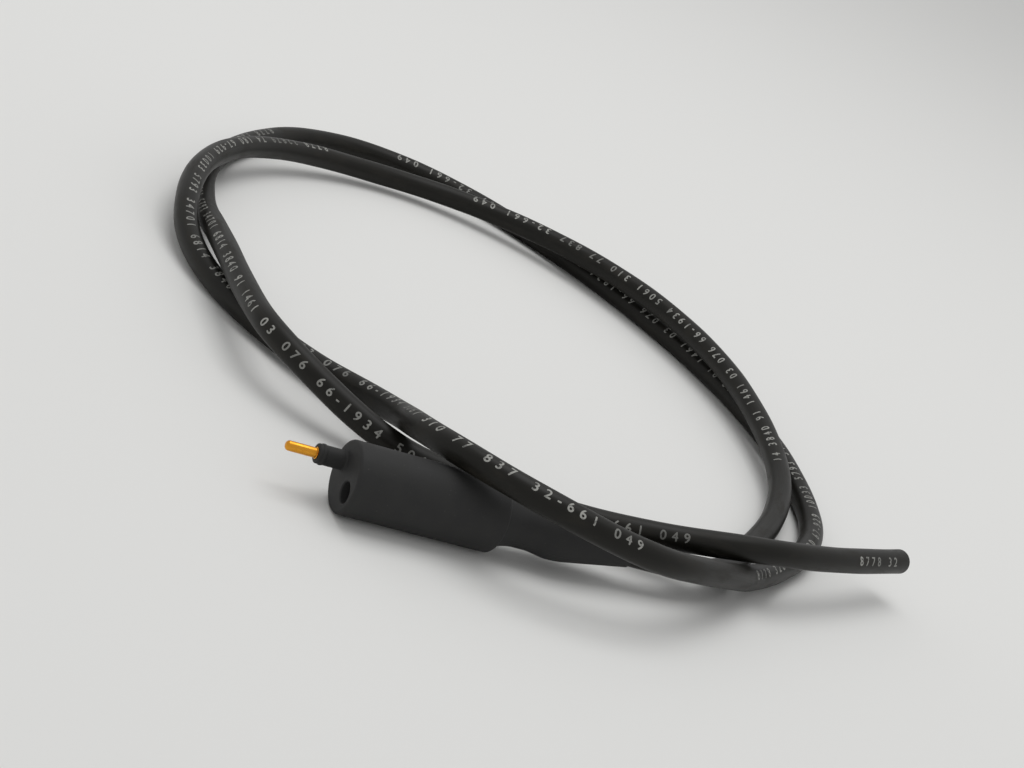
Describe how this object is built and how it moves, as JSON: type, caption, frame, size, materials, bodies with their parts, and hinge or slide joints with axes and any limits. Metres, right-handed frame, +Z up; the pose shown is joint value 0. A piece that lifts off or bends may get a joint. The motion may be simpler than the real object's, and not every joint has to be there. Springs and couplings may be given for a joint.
{
  "type": "instrument cable",
  "caption": "Moulded rubber in-line connector with a gold-plated pin and a socket hole, on a round black cord that lies in loose turns and ends in a plain cut.",
  "frame": {"origin": "on the surface that the connector lies on, straight below its axis and 26.2 mm behind its mating face, where the body rests", "axes": "+X along the connector from its mating face to its tail, +Z up, +Y to the far side, where the pin is"},
  "size_m": [0.1807, 0.2557, 0.0293],
  "materials": {
    "neoprene": "matte moulded chloroprene rubber, faint mould line",
    "sleeve_rubber": "matte moulded rubber",
    "gold_plate": "turned brass, gold plated, satin",
    "spring_steel": "rolled stainless strip",
    "glass_filled_nylon": "moulded, glass filled",
    "solder": "dull tin alloy",
    "shrink_tube": "shrunk polyolefin",
    "copper": "bare stranded copper",
    "black_insulation": "extruded rubber insulation",
    "white_insulation": "extruded rubber insulation",
    "cord_rubber": "extruded thermoset jacket, soft sheen, white ink print",
    "white_ink": "white marking ink, worn",
    "paper": "kraft paper tape",
    "cotton_filler": "twisted cotton yarn"
  },
  "bodies": {
    "root": {"connector_body": "neoprene", "strain_relief": "neoprene", "pin_sleeve": "sleeve_rubber", "pin_contact": "gold_plate", "socket_contact": "gold_plate", "socket_spring": "spring_steel", "contact_carrier": "glass_filled_nylon", "pin_solder_joint": "solder", "socket_solder_joint": "solder", "pin_shrink_sleeve": "shrink_tube", "socket_shrink_sleeve": "shrink_tube", "pin_conductor": "copper", "socket_conductor": "copper", "pin_conductor_insulation": "black_insulation", "socket_conductor_insulation": "white_insulation", "jacket_end": "cord_rubber", "jacket_end_paper_wrap": "paper", "jacket_end_fillers": "cotton_filler", "cord_jacket": "cord_rubber", "cut_end_paper_wrap": "paper", "cut_end_fillers": "cotton_filler", "cut_end_black_insulation": "black_insulation", "cut_end_white_insulation": "white_insulation", "cut_end_black_strands": "copper", "cut_end_white_strands": "copper"}
  },
  "joints": []
}
